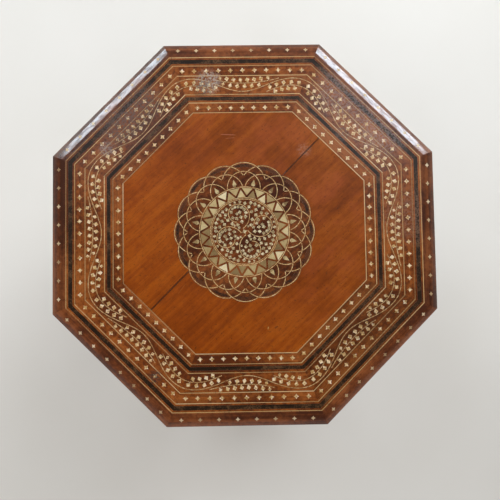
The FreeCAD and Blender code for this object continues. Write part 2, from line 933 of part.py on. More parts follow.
# Folding base
def arch_edges():
    # Right half of the opening, from the floor to the point of the arch, as (across, up)
    toe = (arch_half - foot_flare, 0)
    ankle = (arch_half, foot_height)
    hollow = (arch_half - foot_flare * foot_hollow_out, foot_height * foot_hollow_up)
    last = math.degrees(math.acos(ogee_half / arch_half))
    cusps = []
    for index in range(arch_lobes + 1):
        angle = math.radians(last * index / arch_lobes)
        cusps.append((arch_half * math.cos(angle), spring_height + arch_rise * math.sin(angle)))
    stretches = [(toe, hollow, ankle), (ankle, None, cusps[0])]
    for first, second in zip(cusps, cusps[1:]):
        middle = ((first[0] + second[0]) / 2, (first[1] + second[1]) / 2)
        outwards = bearing_of(middle, (0, spring_height))
        stretches.append((first, polar(arch_bulge, outwards, middle), second))
    point = (0, cusps[-1][1] + ogee_height)
    middle = (cusps[-1][0] / 2, (cusps[-1][1] + point[1]) / 2)
    # The hollow sides of the ogee stop short of upright at its point
    heading = bearing_of(point, cusps[-1])
    bend = math.radians(heading - 90) * ogee_curl
    hollow_depth = math.dist(point, cusps[-1]) / 2 * math.tan(bend / 2)
    stretches.append((cusps[-1], polar(hollow_depth, heading + 90, middle), point))
    return stretches


def panel_edge(first, middle, second):
    points = [vec(panel_inner, *point) for point in (first, middle, second) if point]
    return Part.Arc(*points).toShape() if middle else Part.makeLine(*points)


def plain_panel():
    right = arch_edges()
    left = [tuple(point and (-point[0], point[1]) for point in stretch) for stretch in right]
    toe = right[0][0]
    corners = [(-toe[0], 0), (-panel_half, 0), (-panel_half, top_under), (panel_half, top_under),
               (panel_half, 0), toe]
    stretches = right + left + [(first, None, second) for first, second in zip(corners, corners[1:])]
    edges = [panel_edge(*stretch) for stretch in stretches]
    return Part.Face(Part.Wire(Part.__sortEdges__(edges))).extrude(vec(panel_thickness, 0, 0))


def hinge_levels(corner):
    # Hinges of the back corners sit higher, so that they pass those of the front when folded flat
    raised = hinge_stagger if corner in raised_corners else 0
    return [hinge_low + raised, hinge_high + raised]


def panel_hinges(number):
    # Each hinge of a panel as its end, +1 or -1 along the panel, and its foot
    after = [(1, level) for level in hinge_levels(number)]
    before = [(-1, level) for level in hinge_levels((number - 2) % sides + 1)]
    return after + before


def at_end(shape, end):
    return shape if end > 0 else shape.mirror(vec(0, 0), vec(0, 1, 0))


def hinge_leaf(end, level):
    near = hinge_reach - plate_setback
    face = panel_inner - leaf_plate_thickness
    leaf_solid = block(face, panel_inner, hinge_reach - leaf_plate_width, near, level, level + hinge_length)
    third = hinge_length / 3
    room = knuckle_gap / 2
    spans = [(third + room, 2 * third - room)]
    if end > 0:
        spans = [(0, third - room), (2 * third + room, hinge_length)]
    for low, high in spans:
        barrel = Part.makeCylinder(knuckle_radius, high - low, vec(hinge_axis, hinge_reach, level + low))
        web = block(face, hinge_axis + knuckle_radius, near - cut_over, hinge_reach,
                    level + low, level + high)
        leaf_solid = leaf_solid.fuse([barrel, web])
    bore = Part.makeCylinder(pin_radius + pin_gap, hinge_length, vec(hinge_axis, hinge_reach, level))
    return at_end(leaf_solid.removeSplitter().cut(bore).Solids[0], end)


def hinge_screws(end, level, gap):
    screws = []
    across = hinge_reach - (plate_setback + leaf_plate_width) / 2
    for side in (-1, 1):
        fixing = screw(screw_length, gap)
        fixing.rotate(vec(0, 0), vec(0, 1, 0), 90)
        height = level + hinge_length / 2 + side * screw_spread / 2
        fixing.translate(vec(panel_inner - leaf_plate_thickness, across, height))
        screws.append(at_end(fixing, end))
    return screws


def hinge_pin(end, level):
    foot = vec(hinge_axis, end * hinge_reach, level - pin_over)
    return Part.makeCylinder(pin_radius, hinge_length + 2 * pin_over, foot)


def base():
    plain = plain_panel()
    for number in range(1, sides + 1):
        hinges = panel_hinges(number)
        holes = [hole for hinge in hinges for hole in hinge_screws(*hinge, screw_gap)]
        panel = on_side(carved(plain, holes), number)
        if number == 1:
            panel = carved(panel, pegs(peg_fit))
        save("side_panel_%d" % number, [panel])
        leaves = [carved(hinge_leaf(*hinge), hinge_screws(*hinge, screw_gap)) for hinge in hinges]
        save("hinge_leaves_%d" % number, [on_side(plate, number) for plate in leaves])
        screws = [fixing for hinge in hinges for fixing in hinge_screws(*hinge, 0)]
        save("hinge_screws_%d" % number, [on_side(fixing, number) for fixing in screws])
        if number % 2:
            save("hinge_pins_%d" % number, [on_side(hinge_pin(*hinge), number) for hinge in hinges])
    save("locating_pegs", pegs(0))


os.makedirs("parts", exist_ok=True)
save("ebony_inlay", border() + rosette())
rim()
field()
base()
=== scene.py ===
import math
import bmesh
import bpy
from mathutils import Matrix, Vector


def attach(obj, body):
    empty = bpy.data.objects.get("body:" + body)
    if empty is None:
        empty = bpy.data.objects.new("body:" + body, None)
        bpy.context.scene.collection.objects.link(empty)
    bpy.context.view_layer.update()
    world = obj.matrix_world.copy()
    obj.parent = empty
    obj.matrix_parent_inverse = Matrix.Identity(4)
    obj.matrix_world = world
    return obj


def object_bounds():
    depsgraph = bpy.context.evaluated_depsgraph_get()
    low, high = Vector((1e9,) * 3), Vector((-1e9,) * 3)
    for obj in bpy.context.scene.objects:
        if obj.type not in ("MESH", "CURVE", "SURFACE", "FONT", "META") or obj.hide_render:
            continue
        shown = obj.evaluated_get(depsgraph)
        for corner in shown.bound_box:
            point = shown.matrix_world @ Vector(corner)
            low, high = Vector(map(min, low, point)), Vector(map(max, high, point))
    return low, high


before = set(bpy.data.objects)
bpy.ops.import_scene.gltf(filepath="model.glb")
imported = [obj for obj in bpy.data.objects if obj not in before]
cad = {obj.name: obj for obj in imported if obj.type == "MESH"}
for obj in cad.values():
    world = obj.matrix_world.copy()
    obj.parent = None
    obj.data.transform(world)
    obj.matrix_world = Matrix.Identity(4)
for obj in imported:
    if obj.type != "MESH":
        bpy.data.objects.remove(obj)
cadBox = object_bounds()
topHeight = cadBox[1].z
sideTurn = [math.radians(-90 + 45 * index) for index in range(8)]  # which way each side of the octagon faces
print("frame loaded,", len(cad), "nodes")


def tone(red, green, blue):  # a colour as it looks on screen, 0 to 255
    def linear(value):
        share = value / 255
        return share / 12.92 if share <= 0.04045 else ((share + 0.055) / 1.055) ** 2.4
    return (linear(red), linear(green), linear(blue), 1.0)


class Wire:  # a shader socket that takes part in sums
    def __init__(self, tree, socket=None):
        self.tree = tree
        self.socket = socket

    def make(self, kind, settings=None, inputs=None, output=0):
        node = self.tree.nodes.new("ShaderNode" + kind)
        for key, value in (settings or {}).items():
            if key == "stops":
                ramp = node.color_ramp.elements
                ramp[0].position, ramp[0].color = value[0]
                ramp[1].position, ramp[1].color = value[-1]
                for place, colour in value[1:-1]:
                    ramp.new(place).color = colour
            else:
                setattr(node, key, value)
        for key, value in (inputs or {}).items():
            if isinstance(value, Wire):
                self.tree.links.new(value.socket, node.inputs[key])
            else:
                node.inputs[key].default_value = value
        return Wire(self.tree, node.outputs[output] if node.outputs else None)

    def out(self, name):  # another output of the same node
        return Wire(self.tree, self.socket.node.outputs[name])

    def sum(self, operation, *values):
        return self.make("Math", {"operation": operation}, dict(enumerate(values)))

    def __add__(self, other):
        return self.sum("ADD", self, other)

    def __radd__(self, other):
        return self.sum("ADD", other, self)

    def __sub__(self, other):
        return self.sum("SUBTRACT", self, other)

    def __rsub__(self, other):
        return self.sum("SUBTRACT", other, self)

    def __mul__(self, other):
        return self.sum("MULTIPLY", self, other)

    def __rmul__(self, other):
        return self.sum("MULTIPLY", other, self)

    def __abs__(self):
        return self.sum("ABSOLUTE", self)


def newFinish(name):
    made = bpy.data.materials.new(name)
    made.use_nodes = True
    made.node_tree.nodes.clear()
    return made, Wire(made.node_tree)


def rise(value, low, high):  # 0 below low, 1 above high
    return value.make("MapRange", {"interpolation_type": "SMOOTHSTEP"},
                      {"Value": value, "From Min": low, "From Max": high})


def mixed(first, second, share, way="MIX"):
    start = share if isinstance(share, Wire) else first
    return start.make("Mix", {"data_type": "RGBA", "blend_type": way},
                      {0: share, 6: first, 7: second}, output=2)


def stretched(place, by):  # one number, or one for each direction
    by = by if isinstance(by, tuple) else (by, by, by)
    return place.make("VectorMath", {"operation": "MULTIPLY"}, {0: place, 1: by})


def shifted(place, by):
    return place.make("VectorMath", {"operation": "ADD"}, {0: place, 1: by})


def along(place, heading):  # how far a place lies in one direction
    return place.make("VectorMath", {"operation": "DOT_PRODUCT"}, {0: place, 1: heading}, output="Value")


def farFrom(place, center):
    return place.make("VectorMath", {"operation": "DISTANCE"}, {0: place, 1: center}, output="Value")


def noise(place, detail=2.0, rough=0.5, bend=0.0):
    return place.make("TexNoise", None, {"Vector": place, "Scale": 1.0, "Detail": detail,
                                         "Roughness": rough, "Distortion": bend})


def spot(place, center, size, core=0.35):  # 1 in the core of a round patch, 0 outside it
    return 1 - rise(farFrom(place, center), size * core, size)


def shaded(start, colour, roughness, height, lift, inputs, relief=0.6):
    normal = start.make("Bump", None, {"Strength": relief, "Distance": lift, "Height": height})
    varied = {"Base Color": colour, "Roughness": roughness, "Normal": normal}
    return start.make("BsdfPrincipled", None, varied | inputs)


def surfaced(start, colour, roughness, height, lift, inputs):
    start.make("OutputMaterial", None, {"Surface": shaded(start, colour, roughness, height, lift, inputs)})


# Blemishes and painted sheen of the old top

stainsAndSheen = [  # centre across and up, size, tone, strength
    (-0.050, 0.222, 0.024, tone(168, 160, 150), 0.75),
    (-0.060, 0.212, 0.020, tone(60, 46, 38), 0.6),
    (-0.199, 0.124, 0.015, tone(140, 128, 124), 0.7),
    (0.146, 0.143, 0.016, tone(96, 82, 78), 0.6),
    (-0.131, -0.207, 0.013, tone(52, 46, 44), 0.9),
    (0.089, 0.119, 0.014, tone(158, 120, 102), 0.4),
    (-0.180, 0.158, 0.042, tone(88, 70, 64), 0.8),
    (-0.148, 0.190, 0.042, tone(86, 70, 64), 0.75),
    (0.206, -0.118, 0.075, tone(66, 39, 23), 0.35),
    (0.168, -0.166, 0.060, tone(70, 42, 24), 0.35),
    # The next three pale grey patches are painted sheen: light reflected off the polish on the right and
    # upper right of the border.
    (0.240, 0.020, 0.055, tone(150, 112, 92), 0.35),
    (0.205, 0.150, 0.058, tone(142, 124, 120), 0.45),
    (0.150, 0.205, 0.058, tone(142, 124, 120), 0.45),
]
specks = {"fineness": 430, "onset": (0.66, 0.73), "tone": tone(44, 26, 15), "strength": 0.5}
flecks = {"fineness": 330, "onset": (0.4, 0.6)}  # what breaks up the edge of a blemish or of a patch of painted sheen


# dark specks, stains and patches of painted sheen, laid over any piece of the top
def stainedAndSheened(place, colour):
    speck = rise(noise(stretched(place, specks["fineness"]), 1, 0.5), *specks["onset"])
    colour = mixed(colour, specks["tone"], speck * specks["strength"])
    fleck = noise(stretched(place, flecks["fineness"]), 4, 0.65)
    # each patch tone is a stain, except the three pale grey ones on the right, which are painted sheen
    for across, up, size, stain, strength in stainsAndSheen:
        patch = spot(place, (across, up, topHeight), size) * rise(fleck, *flecks["onset"])
        colour = mixed(colour, stain, patch * strength)
    return colour


# Woods

fieldWood = {
    "dark": tone(110, 47, 7), "middle": tone(137, 63, 11), "light": tone(158, 80, 20),
    "vein": tone(88, 36, 7), "pore": tone(80, 34, 8), "bare": tone(112, 70, 40),
    "bands": 0.55, "streaks": 0.5, "blotches": 0.8, "veins": 0.25, "pores": 0.4, "mottle": 0.25,
    "roughness": 0.34, "coat": 0.05, "glaze": 1.5, "worn": 0.5, "shine": 0.15,
}
borderWood = {
    "dark": tone(84, 37, 11), "middle": tone(122, 61, 20), "light": tone(150, 83, 35),
    "vein": tone(62, 26, 9), "pore": tone(52, 22, 8), "bare": tone(104, 66, 40),
    "bands": 0.8, "streaks": 0.8, "blotches": 0.9, "veins": 0.45, "pores": 0.5, "mottle": 0.9,
    "roughness": 0.3, "coat": 0.1, "glaze": 1.5, "worn": 0.5, "shine": 0.2,
}
rimWood = {
    "dark": tone(66, 29, 10), "middle": tone(100, 50, 21), "light": tone(128, 70, 34),
    "vein": tone(48, 20, 9), "pore": tone(42, 18, 9), "bare": tone(92, 58, 36),
    "bands": 0.8, "streaks": 0.8, "blotches": 1.0, "veins": 0.4, "pores": 0.5, "mottle": 0.6,
    "roughness": 0.36, "coat": 0.25, "glaze": 1.78, "worn": 0.6, "shine": 0.25,
}
rosetteWood = {
    "dark": tone(70, 30, 10), "middle": tone(107, 53, 21), "light": tone(132, 71, 32),
    "vein": tone(48, 20, 8), "pore": tone(42, 18, 8), "bare": tone(92, 45, 22),
    "bands": 0.8, "streaks": 0.8, "blotches": 1.2, "veins": 0.3, "pores": 0.5, "mottle": 0.7,
    "roughness": 0.34, "coat": 0.06, "glaze": 1.5, "worn": 0.5, "shine": 0.15,
}
panelWood = {
    "dark": tone(84, 38, 15), "middle": tone(118, 57, 24), "light": tone(142, 76, 36),
    "vein": tone(58, 25, 11), "pore": tone(48, 21, 9), "bare": tone(106, 68, 42),
    "bands": 0.9, "streaks": 0.8, "blotches": 0.6, "veins": 0.45, "pores": 0.5, "mottle": 0.25,
    "roughness": 0.36, "coat": 0.3, "glaze": 1.5, "worn": 0.6, "shine": 0.35,
}
hiddenWood = {
    "dark": tone(92, 60, 36), "middle": tone(124, 86, 54), "light": tone(146, 108, 72),
    "vein": tone(70, 44, 26), "pore": tone(60, 38, 22), "bare": tone(124, 86, 54),
    "bands": 0.8, "streaks": 0.9, "blotches": 0.8, "veins": 0.3, "pores": 0.5, "mottle": 0.2,
    "roughness": 0.7, "coat": 0.0, "glaze": 1.5, "worn": 0.0, "shine": 0.3,
}
seedStep = (0.37, 0.61, 0.23)  # takes each piece to another part of the same wood
fineness = {  # of the layers of a wood: along the grain, across it and through it, or the same all ways
    "band": (2.0, 26, 26), "streak": (5, 170, 170), "fibre": (45, 1500, 1500), "pore": (110, 2300, 2300),
    "dullness": (60, 260, 260), "blotch": 12, "cloud": 170,
}
onset = {  # where a layer sets in, and where it is full
    "pore": (0.62, 0.72), "vein": (0.0, 0.025), "veinStreak": (0.42, 0.6),
    "bare": (0.5, 0.8), "dullness": (0.44, 0.6),
}


def grainSpace(start, turn, seed, upright):  # X along the grain
    place = start.make("TexCoord", output="Object")
    moved = shifted(place, tuple(step * seed for step in seedStep))
    flat = start.make("VectorRotate", {"rotation_type": "Z_AXIS"}, {"Vector": moved, "Angle": -turn})
    if not upright:
        return place, flat
    parts = start.make("SeparateXYZ", None, {"Vector": flat})
    swapped = {"X": parts.out("Z"), "Y": parts.out("Y"), "Z": parts.out("X")}
    return place, start.make("CombineXYZ", None, swapped)


def woodFinish(name, look, turn, seed, back=(0, 0, -1), upright=False, marks=None, gloss=0.12):
    made, start = newFinish(name)
    place, grain = grainSpace(start, turn, seed, upright)
    band = noise(stretched(grain, fineness["band"]), 3, 0.5, 0.4)
    streak = noise(stretched(grain, fineness["streak"]), 4, 0.6, 0.2)
    fibre = noise(stretched(grain, fineness["fibre"]), 2, 0.5)
    pore = rise(noise(stretched(grain, fineness["pore"]), 0), *onset["pore"])
    blotch = noise(stretched(place, fineness["blotch"]), 3, 0.55)
    cloud = noise(stretched(place, fineness["cloud"]), 4, 0.6)
    figure = (band - 0.5) * look["bands"] + (streak - 0.5) * look["streaks"]
    figure = figure + (blotch - 0.5) * look["blotches"] + (cloud - 0.5) * look["mottle"]
    stops = [(0.3, look["dark"]), (0.5, look["middle"]), (0.7, look["light"])]
    colour = start.make("ValToRGB", {"stops": stops}, {"Fac": figure + 0.5})
    vein = (1 - rise(abs(band - 0.52), *onset["vein"])) * rise(streak, *onset["veinStreak"])
    colour = mixed(colour, look["vein"], vein * look["veins"])
    colour = start.make("HueSaturation", None, {"Color": colour, "Value": 0.9 + fibre * 0.2})
    colour = mixed(colour, look["pore"], pore * look["pores"])
    if marks:
        colour = marks(place, colour)
    facing = start.make("TexCoord", output="Normal")
    bare = rise(along(facing, back), *onset["bare"])  # the side that was never polished
    colour = mixed(colour, look["bare"], bare * (0.55 + streak * 0.5))
    roughness = look["roughness"] + (fibre - 0.5) * 0.08 + pore * 0.12 + (cloud - 0.5) * gloss + bare * 0.3
    polish = 0.0
    if look["coat"]:
        dull = noise(stretched(grain, fineness["dullness"]), 5, 0.65)
        polish = (1 - rise(dull, *onset["dullness"]) * look["worn"]) * (1 - bare) * look["coat"]
    surfaced(start, colour, roughness, fibre * 0.4 - pore + cloud * gloss * 8, 0.00012,
             {"Coat Weight": polish, "Coat Roughness": 0.1, "Coat IOR": look["glaze"],
              "Specular IOR Level": look["shine"]})
    return made


# Inlay and metal

boneLook = {
    "stops": [(0.0, tone(154, 116, 62)), (0.3, tone(192, 155, 99)),
              (0.65, tone(216, 187, 144)), (1.0, tone(238, 217, 189))],
    "stain": tone(104, 76, 44), "roughness": 0.38,
}
rimBoneLook = {
    "stops": [(0.0, tone(146, 116, 82)), (0.35, tone(178, 148, 110)),
              (0.7, tone(200, 174, 138)), (1.0, tone(220, 198, 166))],
    "stain": tone(78, 54, 32), "roughness": 0.42,
}
toothLook = {
    "stops": [(0.0, tone(112, 88, 54)), (0.35, tone(150, 124, 80)),
              (0.7, tone(186, 162, 114)), (1.0, tone(222, 202, 162))],
    "stain": tone(84, 58, 32), "roughness": 0.38,
}
scrollLook = {
    "stops": [(0.0, tone(118, 97, 64)), (0.35, tone(158, 138, 99)),
              (0.7, tone(194, 176, 135)), (1.0, tone(228, 214, 182))],
    "stain": tone(84, 60, 36), "roughness": 0.38,
}
stringLook = {
    "stops": [(0.0, tone(122, 84, 48)), (0.35, tone(164, 126, 78)),
              (0.7, tone(192, 158, 108)), (1.0, tone(220, 192, 148))],
    "stain": tone(92, 60, 34), "roughness": 0.4,
}
rosetteStringLook = {
    "stops": [(0.0, tone(138, 96, 54)), (0.35, tone(182, 142, 88)),
              (0.7, tone(208, 172, 116)), (1.0, tone(232, 204, 158))],
    "stain": tone(92, 60, 34), "roughness": 0.4,
}
ebonyLook = {
    "black": tone(34, 22, 12), "worn": tone(104, 72, 46), "rubbing": 0.8, "rubbed": (0.47, 0.64),
    "wear": 60, "line": 420, "roughness": 0.36,
    "rosette": tone(88, 48, 25), "rosetteEdge": (0.104, 0.11), "reddened": (0.38, 0.58),  # paler there
}
brassLook = {"bright": tone(192, 152, 84), "aged": tone(136, 102, 56), "roughness": 0.38}
steelLook = {"bright": tone(128, 122, 116), "aged": tone(70, 60, 52), "roughness": 0.45}
paleLayers = {"cloud": 160, "mottle": 900, "stained": (0.55, 0.75), "specked": (0.58, 0.75)}
metalLayers = {"tarnish": 180, "brushing": (1500, 1500, 300), "aged": (0.3, 0.72)}


def paleFinish(name, look, marks=None):
    made, start = newFinish(name)
    place = start.make("TexCoord", output="Object")
    each = start.make("NewGeometry", output="Random Per Island")
    cloud = noise(stretched(place, paleLayers["cloud"]), 3, 0.6)
    mottle = noise(stretched(place, paleLayers["mottle"]), 2, 0.5)
    colour = start.make("ValToRGB", {"stops": look["stops"]}, {"Fac": each * 0.9 + cloud * 0.6 - 0.25})
    grime = rise(cloud, *paleLayers["stained"]) * 0.45 + rise(mottle, *paleLayers["specked"]) * 0.3
    colour = mixed(colour, look["stain"], grime)
    if marks:
        colour = marks(place, colour)
    surfaced(start, colour, look["roughness"] + (mottle - 0.5) * 0.2, mottle, 0.00005,
             {"Coat Weight": 0.1, "Coat Roughness": 0.15, "Specular IOR Level": 0.3})
    return made


def ebonyFinish(name, look):
    made, start = newFinish(name)
    place = start.make("TexCoord", output="Object")
    wear = noise(stretched(place, look["wear"]), 5, 0.65)
    line = noise(stretched(place, look["line"]), 3, 0.6)
    rubbed = rise(wear * 0.6 + line * 0.4, *look["rubbed"])
    colour = mixed(look["black"], look["worn"], rubbed * look["rubbing"])
    inside = 1 - rise(farFrom(place, (0, 0, topHeight)), *look["rosetteEdge"])
    colour = mixed(colour, look["rosette"], inside * rise(wear * 0.5 + line * 0.5, *look["reddened"]))
    surfaced(start, stainedAndSheened(place, colour), look["roughness"] + (line - 0.5) * 0.2, line, 0.00006,
             {"Coat Weight": 0.1, "Coat Roughness": 0.2, "Specular IOR Level": 0.2})
    return made


def metalFinish(name, look):
    made, start = newFinish(name)
    place = start.make("TexCoord", output="Object")
    tarnish = noise(stretched(place, metalLayers["tarnish"]), 5, 0.6)
    fine = noise(stretched(place, metalLayers["brushing"]), 2, 0.5)
    colour = mixed(look["bright"], look["aged"], rise(tarnish, *metalLayers["aged"]))
    roughness = look["roughness"] + (tarnish - 0.5) * 0.3 + (fine - 0.5) * 0.1
    surfaced(start, colour, roughness, fine, 0.00004, {"Metallic": 1.0})
    return made


# Marks that belong to one piece

boardJoint = {
    "lean": math.sqrt(0.5), "offset": 0.0177, "width": (0.0005, 0.0018),
    "dirt": tone(54, 32, 20), "fineness": 60, "onset": (0.3, 0.6), "strength": 0.75,
}
fieldWear = {
    "across": (0.8, 0.6, 0), "spread": (-0.13, 0.15),
    "left": tone(255, 250, 200), "right": tone(246, 255, 255),
    "ruddy": tone(150, 70, 42), "ruddiness": 0.3, "fineness": 24, "onset": (0.42, 0.66),
    "nickCore": (0.6, 0.4),  # share of its length and width
    "nicks": [  # centre across and up, half length, half width, turn, tone, strength
        (-0.022, 0.143, 0.013, 0.0006, -3, tone(182, 116, 88), 0.6),
        (-0.019, 0.138, 0.008, 0.0005, 4, tone(176, 108, 80), 0.5),
        (0.032, -0.140, 0.0024, 0.0008, 80, tone(176, 146, 84), 0.8),
        (0.044, -0.139, 0.0030, 0.0012, 30, tone(70, 38, 16), 0.7),
        (0.118, -0.062, 0.0026, 0.0010, 60, tone(84, 44, 20), 0.6),
        (-0.092, -0.082, 0.0110, 0.0005, 52, tone(168, 98, 50), 0.4)],
}
rosetteStain = {
    "inner": (0.064, 0.070), "outer": (0.094, 0.101), "tone": tone(44, 22, 12), "strength": 0.55,
    "fineness": 140, "onset": (0.42, 0.62),
}
panelWear = {
    "fineness": (90, 90, 40),
    "edge": (0.0775, 0.0812), "rubbed": tone(160, 104, 62), "rubbing": 0.55, "rubbedOnset": (0.4, 0.62),
    "foot": (0.004, 0.06), "scuffed": tone(58, 34, 20), "scuffing": 0.75, "scuffedOnset": (0.38, 0.6),
}


def fieldMarks(place, colour):  # more orange to the left and below, redder to the right
    share = rise(along(place, fieldWear["across"]), *fieldWear["spread"])
    colour = mixed(colour, mixed(fieldWear["left"], fieldWear["right"], share), 1.0, "MULTIPLY")
    ruddy = rise(noise(stretched(place, fieldWear["fineness"]), 4, 0.6), *fieldWear["onset"])
    colour = mixed(colour, fieldWear["ruddy"], ruddy * share * fieldWear["ruddiness"])
    longCore, wideCore = fieldWear["nickCore"]
    for across, up, length, width, turn, scar, strength in fieldWear["nicks"]:
        slant = math.radians(turn)
        offset = shifted(place, (-across, -up, 0))
        run = abs(along(offset, (math.cos(slant), math.sin(slant), 0)))
        aside = abs(along(offset, (-math.sin(slant), math.cos(slant), 0)))
        nick = (1 - rise(run, length * longCore, length)) * (1 - rise(aside, width * wideCore, width))
        colour = mixed(colour, scar, nick * strength)
    apart = abs(along(place, (-boardJoint["lean"], boardJoint["lean"], 0)) - boardJoint["offset"])
    dirt = rise(noise(stretched(place, boardJoint["fineness"]), 4, 0.6), *boardJoint["onset"])
    dirt = (1 - rise(apart, *boardJoint["width"])) * dirt
    colour = mixed(colour, boardJoint["dirt"], dirt * boardJoint["strength"])
    return stainedAndSheened(place, colour)


def rosetteMarks(place, colour):  # dark stain in the outer cells of the rosette
    far = farFrom(stretched(place, (1, 1, 0)), (0, 0, 0))
    cloud = noise(stretched(place, rosetteStain["fineness"]), 3, 0.6)
    ring = rise(far, *rosetteStain["inner"]) * (1 - rise(far, *rosetteStain["outer"]))
    stain = ring * rise(cloud, *rosetteStain["onset"])
    return mixed(colour, rosetteStain["tone"], stain * rosetteStain["strength"])


def panelMarks(side):  # rubbed upright edges and scuffed feet
    heading = (-math.sin(sideTurn[side]), math.cos(sideTurn[side]), 0)

    def marks(place, colour):
        cloud = noise(stretched(place, panelWear["fineness"]), 4, 0.65)
        rubbed = rise(abs(along(place, heading)), *panelWear["edge"])
        rubbed = rubbed * rise(cloud, *panelWear["rubbedOnset"])
        colour = mixed(colour, panelWear["rubbed"], rubbed * panelWear["rubbing"])
        low = 1 - rise(along(place, (0, 0, 1)), *panelWear["foot"])
        scuffed = low * rise(cloud, *panelWear["scuffedOnset"])
        return mixed(colour, panelWear["scuffed"], scuffed * panelWear["scuffing"])
    return marks


# Finishes on the CAD nodes

grainTurn = math.radians(42)  # of the field, in the photograph
battenTurn = math.radians(-45)
railShade = {1: 0.75, 3: 0.9, 5: 0.9, 7: 1.18}  # rails cut from darker or paler wood
rimShade = {0: 1.15, 1: 1.25, 2: 0.88, 6: 0.88, 7: 1.2}
rimPolish = {  # polish that has lasted
    3: {"coat": 1.0, "glaze": 2.1}, 4: {"coat": 0.4}, 5: {"coat": 1.0, "glaze": 2.1},
}


def dress(node, finish):
    slots = cad[node].data.materials
    slots.clear()
    slots.append(finish)


def toned(look, share):
    shades = ("dark", "middle", "light", "vein")
    return look | {key: (*[value * share for value in look[key][:3]], 1.0) for key in shades}


arris = {"weld": 0.00001, "width": 0.0007, "segments": 2, "sharp": math.radians(35)}  # of a side panel


def softened(node):  # arrises rubbed round
    joined = cad[node].modifiers.new("joined", "WELD")
    joined.merge_threshold = arris["weld"]
    rounded = cad[node].modifiers.new("rounded", "BEVEL")
    rounded.width = arris["width"]
    rounded.segments = arris["segments"]
    rounded.limit_method = "ANGLE"
    rounded.angle_limit = arris["sharp"]
    rounded.harden_normals = True


for side in range(8):
    number = str(side + 1)
    heading = sideTurn[side] + math.pi / 2
    inward = (-math.cos(sideTurn[side]), -math.sin(sideTurn[side]), 0)
    railLook = toned(borderWood, railShade.get(side, 1))
    rimLook = toned(rimWood, rimShade.get(side, 1)) | rimPolish.get(side, {})
    rail = woodFinish("borderWood" + number, railLook, heading, side + 1, marks=stainedAndSheened)
    rim = woodFinish("rimWood" + number, rimLook, heading, side + 11, gloss=0.16)
    panel = woodFinish("panelWood" + number, panelWood, sideTurn[side], side + 21,
                       inward, True, panelMarks(side))
    dress("border_rail_" + number, rail)
    dress("edge_moulding_" + number, rim)
    dress("side_panel_" + number, panel)
    softened("side_panel_" + number)
dress("field_board_1", woodFinish("fieldWood1", fieldWood, grainTurn, 3, marks=fieldMarks))
dress("field_board_2", woodFinish("fieldWood2", fieldWood, grainTurn, 4, marks=fieldMarks))
dress("rosette_ground", woodFinish("rosetteWood", rosetteWood, grainTurn, 5, marks=rosetteMarks))
bareWood = woodFinish("bareWood", hiddenWood, battenTurn, 6)
bone = paleFinish("bone", boneLook, stainedAndSheened)
stringWood = paleFinish("stringWood", stringLook, stainedAndSheened)
ebony = ebonyFinish("ebony", ebonyLook)
brass = metalFinish("brass", brassLook)
steel = metalFinish("steel", steelLook)
for node in cad:
    if node.startswith(("battens", "mitre", "locating")):
        dress(node, bareWood)
    elif node.startswith(("batten_screws", "hinge_screws")):
        dress(node, steel)
    elif node.startswith("hinge"):
        dress(node, brass)
for node in ("border_strings", "vine_stems"):
    dress(node, stringWood)
for node in ("border_stars", "vine_leaves"):
    dress(node, bone)
dress("rosette_strings", paleFinish("rosetteString", rosetteStringLook))
dress("rosette_bone", paleFinish("toothBone", toothLook))
dress("scroll_leaves", paleFinish("scrollBone", scrollLook))
dress("rim_dots", paleFinish("rimBone", rimBoneLook))
dress("ebony_inlay", ebony)
print("finishes on the CAD nodes")


# Inlay of the side panels, drawn flat in millimetres as across and up

perMetre = 1000
panelCorners = [vertex.co * perMetre for vertex in cad["side_panel_1"].data.vertices]  # faces -Y
panelShape = {
    "half": max(corner.x for corner in panelCorners), "height": max(corner.z for corner in panelCorners),
    "face": -min(corner.y for corner in panelCorners), "leg": 30.0, "flare": 8.0, "footHeight": 30.0,
    "hollow": (0.2, 0.4), "spring": 225.0, "rise": 88.0, "lobes": 3, "bulge": 5.0,
    "ogeeHalf": 10.0, "ogeeHeight": 26.0, "ogeeCurl": 0.75,
}
panelInlay = {
    "sunk": 0.4, "proud": 0.12, "string": 1.0, "margin": 4.0, "foot": 6.0, "bandOffset": 8.0, "band": 3.0,
    "innerFrame": 16.5, "friezeLow": 478.0, "friezeHigh": 502.0, "friezeBand": 473.0,
    "star": 7.0, "starWaist": 0.52, "starPitch": 17.0, "starSway": 6, "flower": 9.0,
    "leaf": 6.2, "leafPitch": 8.6, "leafStand": 0.9, "leafLean": 22, "lateStart": 1.5,
    "stemRoom": 0.62, "leafRoom": 0.98, "frameRoom": 0.6, "scrollStep": 8,
    "leafShape": ((-0.5, 0.2), (-0.2, 0.5), (0.04, 1.0), (0.22, 0.6)),
    "scrolls": [  # centre, core, opening, fade, first bearing, sweep
        ((30, 408), 11, 36, 80, -125, 400), ((44, 350), 7, 35, 55, 88, -330),
        ((48, 446), 6, 26, 55, -115, 300), ((14, 446), 6, 22, 55, -60, -290)],
}


def polar(radius, bearing, center=(0, 0)):
    angle = math.radians(bearing)
    return (center[0] + radius * math.cos(angle), center[1] + radius * math.sin(angle))


def bowed(first, middle, last, count=14):  # a curve through three points, without its last one
    near = math.dist(first, middle)
    knot = near / (near + math.dist(middle, last))
    points = []
    for index in range(count):
        share = index / count
        start = (share - knot) * (share - 1) / knot
        center = share * (share - 1) / (knot * (knot - 1))
        end = share * (share - knot) / (1 - knot)
        points.append(tuple(start * a + center * b + end * c for a, b, c in zip(first, middle, last)))
    return points


